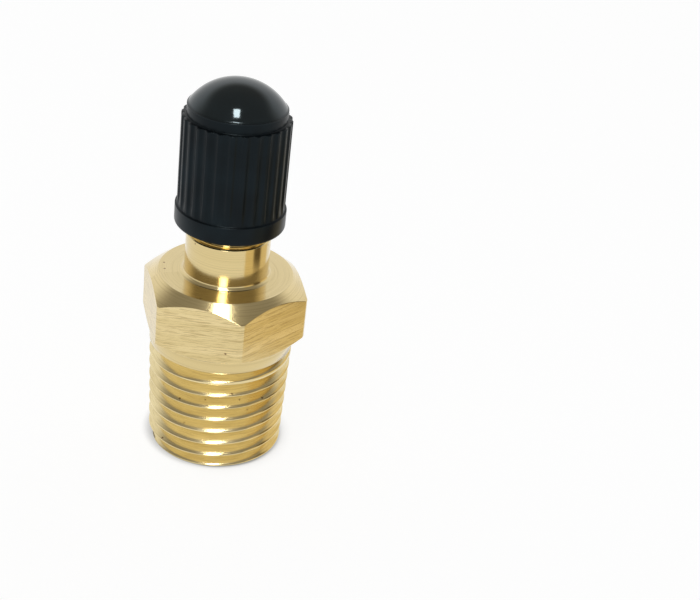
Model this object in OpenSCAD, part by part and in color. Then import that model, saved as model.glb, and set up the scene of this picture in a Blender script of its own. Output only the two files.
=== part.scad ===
// Tank charging valve: a brass body with a taper pipe thread, a hexagon and a
// threaded stem, a spring valve core inside the stem, and a moulded dust cap.
// Millimetres. The origin is the middle of the end face, and +Z runs up the axis.

/* [Pipe thread] */
// Diameter over the crests at the end face
pipe_d = 13.2; // [11:0.1:24]
// Distance from crest to crest, 18 to the inch
pipe_pitch = 1.4111; // [1.2:0.0001:1.8]
// Growth of the radius for each unit of height, 1 in 32
pipe_taper = 0.03125; // [0.01:0.00125:0.05]
// Height where the groove has run out
pipe_thread_h = 11.2; // [8:0.1:20]
// Height of the plain collar above the thread
pipe_collar_h = 1.2; // [0.8:0.1:4]
// Chamfer round the end face
pipe_chamfer = 0.25; // [0.1:0.05:0.6]

/* [Hexagon] */
// Step from the plain collar out to a flat
hex_step = 0.156; // [0.1:0.002:3]
// Height of the hexagon
hex_h = 6; // [4:0.1:12]
// Width of the blunted edge at each corner
hex_edge_w = 0.35; // [0.2:0.01:0.6]
// Distance from a flat in to the flat ring on top
hex_top_inset = 0.744; // [0.4:0.002:1.2]
// Slope of the chamfer under the corners, in degrees
hex_low_angle = 30; // [15:1:40]
// Slope of the chamfer above the corners, in degrees
hex_top_angle = 37.7; // [20:0.1:45]

/* [Stem] */
// Height of the plain neck
neck_h = 4.2; // [2:0.1:10]
// Step from the stem thread's crests out to the neck
neck_step = 0.165; // [0.1:0.005:1]
// Radius at the foot of the neck
neck_fillet = 0.45; // [0.2:0.05:0.8]
// Height of the thread relief above the neck
relief_h = 0.4; // [0.4:0.05:1]
// Height of the stem thread
stem_thread_h = 10; // [8:0.1:16]
// Distance from crest to crest, 32 to the inch
stem_pitch = 0.79375; // [0.7:0.00005:0.9]
// Depth of the stem thread
stem_depth = 0.49; // [0.44:0.01:0.52]
// Metal left between the stem thread and the core thread
stem_wall = 0.645; // [0.4:0.005:2]

/* [Air passage] */
// Diameter of the passage at the end face
passage_d = 5; // [3:0.1:6]
// Room below the core before the passage widens
passage_room = 4; // [2:0.1:6]
// Room between the core's barrel and the wall of its chamber
chamber_room = 0.3; // [0.2:0.01:0.5]
// Height of the conical seat
seat_h = 1; // [0.8:0.05:1.4]

/* [Valve core] */
// Wall from the barrel out to the crests of the plug's thread
core_wall = 0.9; // [0.85:0.01:1.5]
// Distance from crest to crest, 36 to the inch
core_pitch = 0.7056; // [0.65:0.0001:0.75]
// Depth of the plug from the top of the stem
core_sink = 1.4; // [1.2:0.05:2.5]
// Height of the plug's threaded stretch
plug_h = 2.3; // [2:0.05:3]
// Height of the bridge that a core key turns
bridge_h = 1.3; // [1:0.05:2]
// Thickness of the bridge
bridge_w = 1.6; // [1.3:0.05:1.8]
// Diameter of the pin
pin_d = 1; // [0.8:0.02:1.1]
// Depth of the pin's tip below the top of the stem
pin_sink = 0.3; // [0:0.05:0.8]
// Outside diameter of the barrel
barrel_d = 3.4; // [3.2:0.05:3.6]
// Height of the barrel's tube below its gasket
barrel_h = 5.05; // [4:0.05:7]
// Thickness of the spring's wire
wire_d = 0.28; // [0.2:0.01:0.32]
// Working turns of the spring
spring_turns = 7; // [4:1:9]

/* [Dust cap] */
// Wall from the thread's root out to the tops of the ribs
cap_wall = 1.055; // [0.8:0.005:2]
// Number of ribs
rib_count = 28; // [16:1:36]
// Depth of the grooves between the ribs
rib_depth = 0.17; // [0.08:0.01:0.25]
// Radius of the grooves between the ribs
flute_r = 0.5; // [0.3:0.01:0.6]
// Stem thread left showing below the cap
cap_bottom_gap = 0.55; // [0.3:0.05:2]
// Height of the smooth collar
collar_h = 1.85; // [1.2:0.05:3]
// Step from the ribs out to the collar
collar_step = 0.17; // [0.1:0.01:0.5]
// Height of the rib tops above the stem
rib_rise = 1.1; // [0.8:0.05:3]
// Step from the ribs in to the smooth band
band_step = 0.45; // [0.3:0.01:0.8]
// Height of the smooth band
band_h = 1; // [0.5:0.05:2]
// Height of the dome
dome_h = 2.4; // [1.8:0.05:3.5]
// Wall of the dome
dome_wall = 1.3; // [1:0.05:1.8]
// Thickness of the seal washer
seal_h = 0.95; // [0.6:0.05:1.5]
// Hole through the seal washer
seal_hole_d = 3.2; // [2:0.1:5]

/* [Clearances] */
// Gap between the cap's thread and the stem's, measured along the radius
cap_gap = 0.11; // [0.09:0.005:0.14]
// Gap between the plug's thread and the body's, measured along the radius
core_gap = 0.1; // [0.08:0.005:0.12]
// Gap at seals, shoulders and sliding faces
seal_gap = 0.05; // [0.03:0.005:0.08]
// Gap round the swivel joint and the pin's guide
swivel_gap = 0.1; // [0.08:0.005:0.12]

/* [Hidden] */
$fn = 96;
eps = 0.01;
flank = tan(30);
cut = 1;

// thread crests
pipe_crest = 0.14;
pipe_depth = 1.03;
pipe_fade = 0.5;
pipe_start_z = -1.675;
pipe_seg = 36;
stem_crest = 0.1;
cap_crest = 0.08;
core_crest = 0.08;
core_depth = 0.455;
core_female_depth = 0.37;

// small steps and edge breaks
relief_undercut = 0.045;
edge = 0.1;
mouth_rise = 0.9;
cap_mouth_step = 0.15;
dome_step = 0.07;
seat_drop = 1.4;

// radii, from the core outwards
pin_r = pin_d / 2;
guide_r = pin_r + swivel_gap;
barrel_r = barrel_d / 2;
core_r = barrel_r + core_wall;
core_root_r = core_r + core_gap;
core_minor_r = core_root_r - core_female_depth;
mouth_r = core_root_r + seal_gap;
stem_r = core_root_r + stem_wall + stem_depth;
stem_root_r = stem_r - stem_depth;
relief_r = stem_root_r - relief_undercut;
neck_r = stem_r + neck_step;
chamber_r = barrel_r + chamber_room;
passage_r = passage_d / 2;
pipe_r = pipe_d / 2;

// heights, from the end face upwards
hex_z = pipe_thread_h + pipe_collar_h;
annulus_z = hex_z + hex_h;
relief_z = annulus_z + neck_h;
stem_z = relief_z + relief_h;
top_z = stem_z + stem_thread_h;

// hexagon
hex_flat_r = pipe_r + pipe_taper * hex_z + hex_step;
hex_corner_r = hex_flat_r / cos(30);
hex_round_r = sqrt(pow(hex_flat_r, 2) + pow(hex_flat_r * tan(30) - hex_edge_w / 2 / cos(30), 2));
annulus_r = hex_flat_r - hex_top_inset;

// core, measured down from the top of the stem
plug_top_z = top_z - core_sink;
bridge_z = plug_top_z - bridge_h;
plug_z = bridge_z - plug_h;
mouth_z = bridge_z + mouth_rise;
lip_h = 0.25;
socket_h = 1;
seat_top_z = plug_z - seat_drop;
seat_z = seat_top_z - seat_h;
gasket_z = seat_z + edge;
gasket_h = 1.25;
barrel_z = gasket_z - barrel_h;
floor_h = 0.7;
gasket_core_r = barrel_r - 0.15;
head_r = barrel_r + 0.1;
bore_r = barrel_r - 0.5;
port_r = bore_r - 0.4;
rim_r = bore_r + 0.1;
rim_h = 0.6;

// plunger
cup_r = barrel_r - edge;
cup_h = 1.2;
cup_z = barrel_z - swivel_gap - cup_h;
cup_wall = 0.13;
cup_floor_h = 0.55;
rivet_r = pin_r + 0.3;
rivet_h = 0.3;
pin_z = cup_z - rivet_h;
pin_top_z = top_z - pin_sink;
stop_r = bore_r - 0.25;
stop_h = 0.4;
stop_z = gasket_z + gasket_h - 0.45;
spring_z = barrel_z + floor_h;
spring_h = stop_z - spring_z - seal_gap;
coil_r = (pin_r + swivel_gap + bore_r) / 2;

// passage below the core
passage_z = pin_z - passage_room;

// dust cap
cap_minor_r = stem_root_r + cap_gap;
cap_root_r = stem_r + cap_gap;
cap_mouth_r = cap_root_r + cap_mouth_step;
cap_mouth_h = 0.8;
rib_r = cap_root_r + cap_wall;
collar_r = rib_r + collar_step;
band_r = rib_r - band_step;
dome_r = band_r - dome_step;
dome_ball_r = (pow(dome_r, 2) + pow(dome_h, 2)) / (2 * dome_h);
cap_z = stem_z + cap_bottom_gap;
collar_z = cap_z + collar_h;
rib_top_z = top_z + rib_rise;
band_top_z = rib_top_z + band_h;
dome_top_z = band_top_z + dome_h;
dome_centre_z = dome_top_z - dome_ball_r;
seal_z = top_z + seal_gap;
pocket_top_z = seal_z + seal_h + seal_gap;
pocket_r = cap_root_r + seal_gap;
seal_r = pocket_r - swivel_gap;
hollow_r = 2.5;
rib_turn = -16;

// Width of the flat at the bottom of a 60 degree thread groove
function root_w(pitch, crest, depth) = pitch - crest - 2 * depth * flank;

// The V that a threading tool removes, a right-hand helix. r is the radius of the
// crests at z = 0. It is cut into a shaft, or with inside = true into a bore, and
// over the last fade turns it lifts out of the metal.
module groove(r, pitch, from_z, to_z, depth, crest, taper = 0, fade = 0, seg = 24, inside = false) {
    over = crest / 2;
    n = ceil((to_z - from_z) / pitch * seg);
    half_open = (pitch - crest) / 2 + over * flank;
    half_tip = root_w(pitch, crest, depth) / 2;
    side = inside ? -1 : 1;
    function lift(i) = let (left = (n - i) / seg) left < fade ? depth * (1 - left / fade) : 0;
    pts = [for (i = [0:n])
        let (a = 360 * i / seg, z = from_z + pitch * i / seg, rise = lift(i), rc = r + taper * z)
        let (tip = rc - side * (depth - rise), open = rc + side * (over + rise))
        for (q = [[tip, -half_tip], [open, -half_open], [open, half_open], [tip, half_tip]])
            [q[0] * cos(a), q[0] * sin(a), z + q[1]]];
    outer = concat([[3, 2, 1, 0]], [[4 * n, 4 * n + 1, 4 * n + 2, 4 * n + 3]],
        [for (i = [0:n - 1]) for (k = [0:3])
            let (p = 4 * i + k, q = 4 * i + (k + 1) % 4)
            each [[p, q, p + 4], [q, q + 4, p + 4]]]);
    faces = inside ? [for (f = outer) [for (j = [len(f) - 1:-1:0]) f[j]]] : outer;
    polyhedron(points = pts, faces = faces, convexity = 10);
}

// A round wire wound on the axis, with its end turns closed up
module coil(r, wire, from_z, height, turns, seg = 18, sides = 8) {
    dead = 1.5;
    total = turns + 2 * dead;
    n = total * seg;
    pitch = (height - wire * (1 + 2 * dead * 1.1)) / turns;
    function rise(t) = wire * 1.1 * (min(t, dead) + max(0, t - dead - turns))
        + pitch * min(max(t - dead, 0), turns);
    pts = [for (i = [0:n]) let (a = 360 * i / seg, z = from_z + wire / 2 + rise(i / seg))
        for (k = [0:sides - 1]) let (b = 360 * k / sides, q = r + wire / 2 * cos(b))
            [q * cos(a), q * sin(a), z + wire / 2 * sin(b)]];
    faces = concat([[for (k = [0:sides - 1]) k]], [[for (k = [sides - 1:-1:0]) sides * n + k]],
        [for (i = [0:n - 1]) for (k = [0:sides - 1])
            let (p = sides * i + k, q = sides * i + (k + 1) % sides)
            each [[p, p + sides, q], [q, p + sides, q + sides]]]);
    polyhedron(points = pts, faces = faces, convexity = 10);
}

// A ring of square section
module ring(outer, inner, from_z, height) {
    translate([0, 0, from_z]) difference() {
        cylinder(r = outer, h = height);
        translate([0, 0, -cut]) cylinder(r = inner, h = height + 2 * cut);
    }
}

// Hexagon with blunt corners, chamfered above and below
module hexagon() {
    low_rise = (hex_corner_r - hex_flat_r) * tan(hex_low_angle);
    top_fall = (hex_corner_r - annulus_r) * tan(hex_top_angle);
    intersection() {
        translate([0, 0, hex_z]) rotate([0, 0, 30]) cylinder(r = hex_corner_r, h = hex_h, $fn = 6);
        rotate_extrude() intersection() {
            polygon([[0, hex_z], [hex_flat_r, hex_z], [hex_corner_r, hex_z + low_rise],
                [hex_corner_r, annulus_z - top_fall], [annulus_r, annulus_z], [0, annulus_z]]);
            translate([0, hex_z]) square([hex_round_r, hex_h]);
        }
    }
}

// Turned outline of the body
module body_outline() {
    stem_chamfer = stem_depth * 0.9;
    polygon([[0, 0], [pipe_r - pipe_chamfer, 0], [pipe_r + pipe_taper * pipe_chamfer, pipe_chamfer],
        [pipe_r + pipe_taper * hex_z, hex_z], [pipe_r + pipe_taper * hex_z, hex_z + hex_h / 2],
        [0, hex_z + hex_h / 2]]);
    polygon([[0, hex_z], [neck_r, hex_z], [neck_r, relief_z - 0.1], [neck_r - 0.1, relief_z],
        [relief_r, relief_z], [relief_r, stem_z - 0.2], [stem_r, stem_z + 0.15],
        [stem_r, top_z - stem_chamfer], [stem_r - stem_chamfer, top_z], [0, top_z]]);
    translate([neck_r, annulus_z]) difference() {
        translate([-eps, -eps]) square(neck_fillet + eps);
        translate([neck_fillet, neck_fillet]) circle(r = neck_fillet);
    }
}

// Turned outline of everything bored out of the body
module bore_outline() {
    passage_chamfer = 0.4;
    widening = abs(passage_r - chamber_r);
    polygon([[0, -cut], [passage_r + passage_chamfer + cut, -cut], [passage_r, passage_chamfer],
        [passage_r, passage_z], [chamber_r, passage_z + widening], [chamber_r, seat_z],
        [core_minor_r, seat_top_z], [core_minor_r, mouth_z], [mouth_r, mouth_z + mouth_r - core_minor_r],
        [mouth_r, top_z + cut], [0, top_z + cut]]);
}

module valve_body() {
    stem_half = (stem_pitch - stem_crest) / 2 + stem_crest / 2 * flank;
    color("darkgoldenrod") difference() {
        union() {
            rotate_extrude() body_outline();
            hexagon();
        }
        rotate_extrude() bore_outline();
        groove(pipe_r, pipe_pitch, pipe_start_z, pipe_thread_h, pipe_depth, pipe_crest,
            taper = pipe_taper, fade = pipe_fade, seg = pipe_seg);
        groove(stem_r, stem_pitch, relief_z + stem_half + seal_gap, top_z + stem_pitch / 2 + seal_gap,
            stem_depth, stem_crest);
        groove(core_minor_r, core_pitch, plug_z - core_pitch, mouth_z + core_pitch,
            core_root_r - core_minor_r, core_crest, inside = true);
    }
}

// Collar, smooth band and dome of the cap, and the core that carries its ribs
module cap_outline() {
    corner = 0.3;
    translate([0, cap_z + corner]) square([collar_r, collar_h - corner]);
    translate([0, cap_z]) square([collar_r - corner, corner * 2]);
    intersection() {
        translate([collar_r - corner, cap_z + corner]) circle(r = corner);
        translate([0, cap_z]) square(collar_r);
    }
    translate([0, cap_z + corner]) square([band_r, band_top_z - cap_z - corner]);
    intersection() {
        translate([0, dome_centre_z]) circle(r = dome_ball_r);
        translate([0, band_top_z - eps]) square([dome_r, dome_h + cut]);
    }
}

// Ribs, as a sleeve with grooves between them, which starts inside the collar
module cap_ribs() {
    sunk = collar_h / 4;
    difference() {
        translate([0, 0, collar_z - sunk]) cylinder(r = rib_r, h = rib_top_z - collar_z + sunk);
        for (i = [0:rib_count - 1]) rotate([0, 0, 360 * (i + 0.5) / rib_count + rib_turn])
            translate([0, -rib_r - flute_r + rib_depth, collar_z - sunk - cut])
                cylinder(r = flute_r, h = rib_top_z - collar_z + sunk + 2 * cut, $fn = 32);
    }
}

// Room inside the cap for the stem, the seal and the moulding's hollow
module cap_room() {
    polygon([[0, cap_z - cut], [cap_mouth_r, cap_z - cut], [cap_mouth_r, cap_z + cap_mouth_h],
        [cap_minor_r, cap_z + cap_mouth_h + cap_mouth_r - cap_minor_r], [cap_minor_r, top_z],
        [pocket_r, top_z], [pocket_r, pocket_top_z], [0, pocket_top_z]]);
    intersection() {
        translate([0, dome_centre_z]) circle(r = dome_ball_r - dome_wall);
        translate([0, pocket_top_z - eps]) square([hollow_r, dome_h + band_h + rib_rise]);
    }
}

module dust_cap() {
    stem_half = (stem_pitch - stem_crest) / 2 + stem_crest / 2 * flank;
    thread_z = relief_z + stem_half + seal_gap + stem_pitch / 2;
    color([0.09, 0.09, 0.1]) difference() {
        union() {
            rotate_extrude() cap_outline();
            cap_ribs();
        }
        rotate_extrude() cap_room();
        groove(cap_minor_r, stem_pitch, thread_z, top_z + stem_pitch / 2, cap_root_r - cap_minor_r,
            cap_crest, inside = true);
    }
}

module cap_seal() {
    color("dimgray") ring(seal_r, seal_hole_d / 2, seal_z, seal_h);
}

module core_plug() {
    color("goldenrod") difference() {
        union() {
            rotate_extrude() polygon([[0, plug_z], [core_r - 0.3, plug_z], [core_r, plug_z + 0.3],
                [core_r, bridge_z - 0.3], [core_r - 0.3, bridge_z], [0, bridge_z]]);
            intersection() {
                translate([0, 0, bridge_z - eps]) cylinder(r = core_minor_r - swivel_gap - seal_gap, h = bridge_h + eps);
                translate([0, 0, bridge_z + bridge_h / 2]) cube([core_r * 2, bridge_w, bridge_h + cut], center = true);
            }
        }
        rotate_extrude() polygon([[0, plug_z - cut], [gasket_core_r + swivel_gap, plug_z - cut],
            [gasket_core_r + swivel_gap, plug_z + lip_h], [head_r + swivel_gap, plug_z + lip_h],
            [head_r + swivel_gap, plug_z + socket_h], [stop_r + swivel_gap, plug_z + socket_h],
            [stop_r + swivel_gap, plug_top_z - 0.5], [guide_r, plug_top_z - 0.5], [guide_r, plug_top_z + cut],
            [0, plug_top_z + cut]]);
        groove(core_r, core_pitch, plug_z - core_pitch * 0.5, bridge_z + core_pitch / 2, core_depth, core_crest);
    }
}

module core_barrel() {
    color("goldenrod") rotate_extrude() polygon([[port_r, barrel_z], [rim_r, barrel_z],
        [barrel_r, barrel_z + rim_h], [barrel_r, gasket_z - seal_gap], [gasket_core_r, gasket_z - seal_gap],
        [gasket_core_r, gasket_z + gasket_h + seal_gap], [core_minor_r - 0.15, gasket_z + gasket_h + seal_gap],
        [core_minor_r - 0.15, plug_z - swivel_gap - 0.2], [gasket_core_r, plug_z - swivel_gap],
        [gasket_core_r, plug_z + lip_h + swivel_gap], [head_r, plug_z + lip_h + swivel_gap],
        [head_r, plug_z + socket_h - swivel_gap - 0.1], [head_r - 0.1, plug_z + socket_h - swivel_gap],
        [bore_r, plug_z + socket_h - swivel_gap], [bore_r, barrel_z + floor_h], [port_r, barrel_z + floor_h]]);
}

// Sealing ring whose cone matches the seat in the body
module barrel_gasket() {
    slope = (core_minor_r - chamber_r) / seat_h;
    function seat_r(z) = chamber_r + slope * (z - seat_z) - seal_gap;
    color("black") rotate_extrude() polygon([[gasket_core_r, gasket_z], [seat_r(gasket_z), gasket_z],
        [seat_r(seat_top_z), seat_top_z], [seat_r(seat_top_z), gasket_z + gasket_h],
        [gasket_core_r, gasket_z + gasket_h]]);
}

module core_pin() {
    tip = 0.2;
    color("gold") rotate_extrude() polygon([[0, pin_z], [rivet_r - 0.1, pin_z], [rivet_r, pin_z + 0.1],
        [rivet_r, cup_z], [pin_r, cup_z], [pin_r, stop_z], [stop_r, stop_z], [stop_r, stop_z + stop_h],
        [pin_r, stop_z + stop_h], [pin_r, pin_top_z - tip], [pin_r - tip, pin_top_z], [0, pin_top_z]]);
}

module core_spring() {
    color("silver") coil(coil_r, wire_d, spring_z, spring_h, spring_turns);
}

module plunger_cup() {
    color("goldenrod") rotate_extrude() polygon([[pin_r, cup_z], [cup_r - 0.15, cup_z], [cup_r, cup_z + 0.15],
        [cup_r, cup_z + cup_h], [cup_r - cup_wall, cup_z + cup_h], [cup_r - cup_wall, cup_z + cup_floor_h],
        [pin_r, cup_z + cup_floor_h]]);
}

module cup_gasket() {
    color("black") ring(cup_r - cup_wall, pin_r, cup_z + cup_floor_h,
        barrel_z - seal_gap - cup_z - cup_floor_h);
}

valve_body();
dust_cap();
cap_seal();
core_plug();
core_pin();
core_spring();
core_barrel();
barrel_gasket();
plunger_cup();
cup_gasket();
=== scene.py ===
import math

import bmesh
import bpy
from mathutils import Matrix, Vector


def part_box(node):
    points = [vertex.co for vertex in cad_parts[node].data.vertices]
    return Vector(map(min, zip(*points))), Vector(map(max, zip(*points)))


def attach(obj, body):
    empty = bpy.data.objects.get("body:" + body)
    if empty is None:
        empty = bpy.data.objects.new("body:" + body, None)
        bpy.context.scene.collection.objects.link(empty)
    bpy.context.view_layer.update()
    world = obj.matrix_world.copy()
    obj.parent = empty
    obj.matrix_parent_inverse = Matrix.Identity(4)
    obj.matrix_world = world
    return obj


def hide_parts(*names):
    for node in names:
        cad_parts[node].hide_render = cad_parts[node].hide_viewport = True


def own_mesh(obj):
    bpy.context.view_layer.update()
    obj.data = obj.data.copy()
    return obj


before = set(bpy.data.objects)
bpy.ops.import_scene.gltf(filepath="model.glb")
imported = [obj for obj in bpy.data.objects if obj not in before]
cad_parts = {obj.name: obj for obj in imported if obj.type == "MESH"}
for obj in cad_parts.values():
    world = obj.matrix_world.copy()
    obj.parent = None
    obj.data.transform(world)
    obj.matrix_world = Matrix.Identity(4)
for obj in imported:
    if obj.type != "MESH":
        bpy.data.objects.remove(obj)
scene = bpy.context.scene
mm = 0.001
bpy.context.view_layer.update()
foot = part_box("valve_body")[0].z      # heights are counted from the end face
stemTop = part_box("valve_body")[1].z / mm
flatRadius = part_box("valve_body")[1].x / mm
print("frame loaded")


def fill(tree, node, values):
    for socket, value in zip(node.inputs, values):
        if isinstance(value, bpy.types.NodeSocket):
            tree.links.new(value, socket)
        elif value is not None:
            socket.default_value = value
    return node.outputs[0]


def calculator(tree):
    def calc(operation, *values):
        node = tree.nodes.new("ShaderNodeMath")
        node.operation = operation
        return fill(tree, node, values)
    return calc


def addSockets(tree, inputs, outputs):
    for name, kind, value in inputs:
        socket = tree.interface.new_socket(name=name, in_out="INPUT", socket_type="NodeSocket" + kind)
        if value is not None:
            socket.default_value = value
    for name, kind in outputs:
        tree.interface.new_socket(name=name, in_out="OUTPUT", socket_type="NodeSocket" + kind)


def setInput(modifier, name, value):
    for item in modifier.node_group.interface.items_tree:
        if item.item_type == "SOCKET" and item.in_out == "INPUT" and item.name == name:
            modifier[item.identifier] = value
            return
    raise KeyError(name)


def makeObject(name, verts, faces):
    mesh = bpy.data.meshes.new(name)
    mesh.from_pydata(verts, [], faces)
    thing = bpy.data.objects.new(name, mesh)
    scene.collection.objects.link(thing)
    return thing


def roundCorners(points, radius, steps=3, hold=0.03):
    # every inner corner becomes a short arc with a holding point on each side
    out = [points[0]]
    for before, corner, after in zip(points, points[1:], points[2:]):
        p, a, b = Vector(corner), Vector(before), Vector(after)
        u, v = (a - p), (b - p)
        reach = min(u.length, v.length) * 0.42
        u.normalize()
        v.normalize()
        turn = math.pi - u.angle(v)
        cut = min(radius * math.tan(turn / 2), reach)
        r = cut / max(math.tan(turn / 2), 1e-6)
        extra = min(hold, reach - cut + 1e-5)
        out.append(tuple(p + u * (cut + extra)))
        middle = (u + v).normalized() if (u + v).length > 1e-6 else Vector((-u.y, u.x))
        centre = p + middle * math.hypot(r, cut)
        for i in range(steps + 1):
            t = i / steps
            start, end = (p + u * cut - centre), (p + v * cut - centre)
            sweep = start.angle_signed(end) if r > 1e-6 and turn > 1e-3 else 0.0
            c, s = math.cos(-sweep * t), math.sin(-sweep * t)
            out.append((centre.x + start.x * c - start.y * s, centre.y + start.x * s + start.y * c))
        out.append(tuple(p + v * (cut + extra)))
    out.append(points[-1])
    return out


def tube(name, columns):
    # columns is a list of (angle, [(radius, height), ...]) in millimetres, all of one length
    rows = len(columns[0][1])
    verts = [(r * math.cos(a) * mm, r * math.sin(a) * mm, z * mm)
             for a, outline in columns for r, z in outline]
    count = len(columns)
    faces = [(i * rows + j, (i + 1) % count * rows + j, (i + 1) % count * rows + j + 1, i * rows + j + 1)
             for i in range(count) for j in range(rows - 1)]
    return makeObject(name, verts, faces)


def spread(count, crowding=0.0):
    # angles of the columns; crowding draws them towards the six corners of a hexagon
    even = [2 * math.pi * i / count for i in range(count)]
    return [a + crowding / 6 * math.sin(6 * a) for a in even]


def lathe(name, outline, count, crowding=0.0):
    return tube(name, [(a, outline) for a in spread(count, crowding)])


def closedLathe(name, outline, count, radius=0.04, steps=3):
    # a ring or a solid of revolution; an outline that starts and ends on the axis is closed there
    rounded = roundCorners([outline[-1]] + outline + [outline[0]], radius, steps)[1:-1]
    if outline[0][0] < 1e-6:
        rounded = [outline[0]] + roundCorners(outline, radius, steps)[1:-1] + [outline[-1]]
    rows = len(rounded)
    verts = [(r * math.cos(a) * mm, r * math.sin(a) * mm, z * mm)
             for a in [2 * math.pi * i / count for i in range(count)] for r, z in rounded]
    last = rows if outline[0][0] >= 1e-6 else rows - 1
    faces = [(i * rows + j, (i + 1) % count * rows + j,
              (i + 1) % count * rows + (j + 1) % rows, i * rows + (j + 1) % rows)
             for i in range(count) for j in range(last)]
    thing = makeObject(name, verts, faces)
    tidyMesh(thing)
    return thing


def tidyMesh(thing):
    work = bmesh.new()
    work.from_mesh(thing.data)
    bmesh.ops.remove_doubles(work, verts=work.verts, dist=2e-7)
    bmesh.ops.dissolve_degenerate(work, edges=work.edges, dist=1e-8)
    bmesh.ops.recalc_face_normals(work, faces=work.faces)
    work.to_mesh(thing.data)
    work.free()
    thing.data.shade_smooth()


def rings(thing):
    # the lower and the upper open edge of a tube, each in order of angle
    work = bmesh.new()
    work.from_mesh(thing.data)
    edge = {v for e in work.edges if e.is_boundary for v in e.verts}
    loops = []
    while edge:
        todo = [edge.pop()]
        loop = list(todo)
        while todo:
            for e in todo.pop().link_edges:
                if e.is_boundary:
                    for v in e.verts:
                        if v in edge:
                            edge.remove(v)
                            todo.append(v)
                            loop.append(v)
        loops.append([v.co.copy() for v in loop])
    work.free()
    loops.sort(key=lambda loop: sum(c.z for c in loop) / len(loop))
    for loop in loops:
        loop.sort(key=lambda c: math.atan2(c.y, c.x) % (2 * math.pi - 1e-4))
    return loops


def chain(name, parts, joins):
    # joins names pairs of open edges, as (part, 0 lower or 1 upper), to be bridged by a band of faces
    edges = {(i, j): loop for i, part in enumerate(parts) for j, loop in enumerate(rings(part))}
    work = bmesh.new()
    for part in parts:
        work.from_mesh(part.data)
    for one, other in joins:
        a, b = edges[one], edges[other]
        if len(a) != len(b):
            raise ValueError(f"{name}: open edges of {len(a)} and {len(b)} points")
        low = [work.verts.new(c) for c in a]
        high = [work.verts.new(c) for c in b]
        for i in range(len(a)):
            k = (i + 1) % len(a)
            work.faces.new((low[i], low[k], high[k], high[i]))
    mesh = bpy.data.meshes.new(name)
    work.to_mesh(mesh)
    work.free()
    whole = bpy.data.objects.new(name, mesh)
    scene.collection.objects.link(whole)
    for part in parts:
        bpy.data.objects.remove(part)
    tidyMesh(whole)
    return whole


def evaluated(thing, name):
    # the result of the modifiers as a plain mesh
    bpy.context.view_layer.update()
    graph = bpy.context.evaluated_depsgraph_get()
    mesh = bpy.data.meshes.new_from_object(thing.evaluated_get(graph))
    plain = bpy.data.objects.new(name, mesh)
    scene.collection.objects.link(plain)
    bpy.data.objects.remove(thing)
    return plain


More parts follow.
